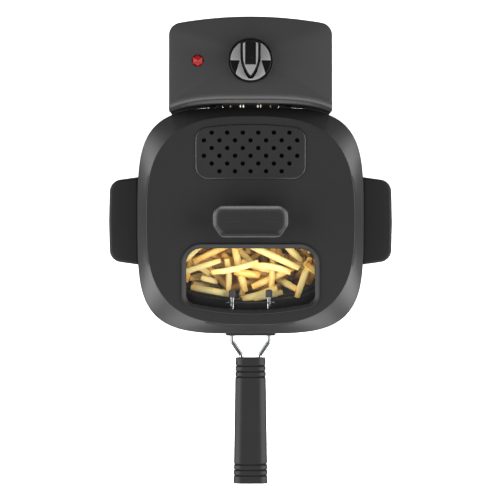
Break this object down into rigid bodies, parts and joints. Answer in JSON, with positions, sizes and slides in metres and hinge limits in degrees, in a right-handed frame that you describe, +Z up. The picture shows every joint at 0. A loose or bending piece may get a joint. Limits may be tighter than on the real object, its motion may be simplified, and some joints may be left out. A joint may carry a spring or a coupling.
{
  "type": "deep fryer",
  "caption": "Rounded-square deep fryer with a lift-out tank and basket, a lid with a window and filter, and a lift-off control head that carries an immersion heater.",
  "frame": {"origin": "on the ground, under the middle of the whole object's box, head and basket handle included", "axes": "+X to the right seen from the front, +Y from the basket's grip towards the control head, +Z up"},
  "size_m": [0.315, 0.5138, 0.2215],
  "materials": {
    "black_plastic": "satin moulded black plastic with a fine spark texture",
    "gloss_plastic": "polished black plastic",
    "inner_plastic": "plain black switch housing",
    "knob_plastic": "satin dark grey plastic",
    "white_plastic": "off-white heat-resistant plastic",
    "brushed_steel": "brushed stainless steel",
    "chrome_wire": "chromed steel wire",
    "dark_steel": "heat-toned stainless steel",
    "screw_steel": "zinc-plated screws",
    "non_stick": "black non-stick coating on pressed steel",
    "copper": "bare copper bulb and capillary",
    "rubber": "black rubber",
    "clear_pane": "clear heat-resistant pane",
    "red_lens": "faceted translucent red lens",
    "red_button": "red plastic button",
    "filter_felt": "grey needled felt"
  },
  "bodies": {
    "base": {"outer_housing": "brushed_steel", "top_collar": "black_plastic", "base_tray": "black_plastic", "left_handle": "black_plastic", "right_handle": "black_plastic", "foot_front_left": "rubber", "foot_front_right": "rubber", "foot_rear_left": "rubber", "foot_rear_right": "rubber", "left_handle_screw_front": "screw_steel", "left_handle_screw_rear": "screw_steel", "right_handle_screw_front": "screw_steel", "right_handle_screw_rear": "screw_steel", "docking_bracket": "dark_steel", "docking_screw_left": "screw_steel", "docking_screw_right": "screw_steel"},
    "tank": {"oil_tank": "non_stick"},
    "head": {"head_cover": "black_plastic", "head_base": "black_plastic", "head_screw_left": "screw_steel", "head_screw_right": "screw_steel", "element_panel": "brushed_steel", "heating_element": "dark_steel", "thermostat_bulb": "copper", "cutout_bulb": "copper", "bulb_clip": "brushed_steel", "thermostat": "white_plastic", "thermal_cutout": "inner_plastic", "terminal_block": "white_plastic", "safety_switch": "inner_plastic", "pilot_lens": "red_lens", "lamp_holder": "white_plastic", "cord_gland": "rubber", "dial_ring": "gloss_plastic"},
    "knob": {"thermostat_shaft": "brushed_steel", "control_knob": "knob_plastic", "knob_insert": "gloss_plastic"},
    "reset": {"reset_button": "red_button"},
    "basket": {"basket_mesh": "chrome_wire", "basket_rim": "chrome_wire", "basket_frame": "chrome_wire", "handle_bracket": "brushed_steel", "handle_wire": "chrome_wire", "grip_upper": "black_plastic", "grip_lower": "black_plastic", "grip_screw_front": "screw_steel", "grip_screw_rear": "screw_steel", "wire_tip_left": "rubber", "wire_tip_right": "rubber"},
    "lid": {"lid_shell": "black_plastic", "lid_liner": "brushed_steel", "window_pane": "clear_pane", "window_frame": "gloss_plastic", "window_seal": "rubber", "lid_handle": "black_plastic", "lid_handle_screw_left": "screw_steel", "lid_handle_screw_right": "screw_steel", "filter_tray": "black_plastic"},
    "filter": {"filter_pad": "filter_felt"},
    "vent": {"vent_cover": "black_plastic"}
  },
  "joints": [
    {"name": "tank_lift", "type": "slide", "parent": "base", "child": "tank", "axis": [0, 0, 1], "range_m": [0, 0.16]},
    {"name": "head_lift", "type": "slide", "parent": "tank", "child": "head", "axis": [0, 0, 1], "range_m": [0, 0.15]},
    {"name": "basket_lift", "type": "slide", "parent": "head", "child": "basket", "axis": [0, 0, 1], "range_m": [0, 0.13]},
    {"name": "lid_lift", "type": "slide", "parent": "basket", "child": "lid", "axis": [0, 0, 1], "range_m": [0, 0.1]},
    {"name": "filter_lift", "type": "slide", "parent": "lid", "child": "filter", "axis": [0, 0, 1], "range_m": [0, 0.03]},
    {"name": "vent_cover_lift", "type": "slide", "parent": "filter", "child": "vent", "axis": [0, 0, 1], "range_m": [0, 0.03]},
    {"name": "knob_turn", "type": "hinge", "parent": "head", "child": "knob", "pos_m": [0, 0.20825, 0.203], "axis": [0, 0, -1], "range_deg": [0, 270]},
    {"name": "reset_press", "type": "slide", "parent": "head", "child": "reset", "axis": [0, -1, 0], "range_m": [0, 0.002], "stiffness_N_per_m": 400, "springref_m": -0.002}
  ]
}
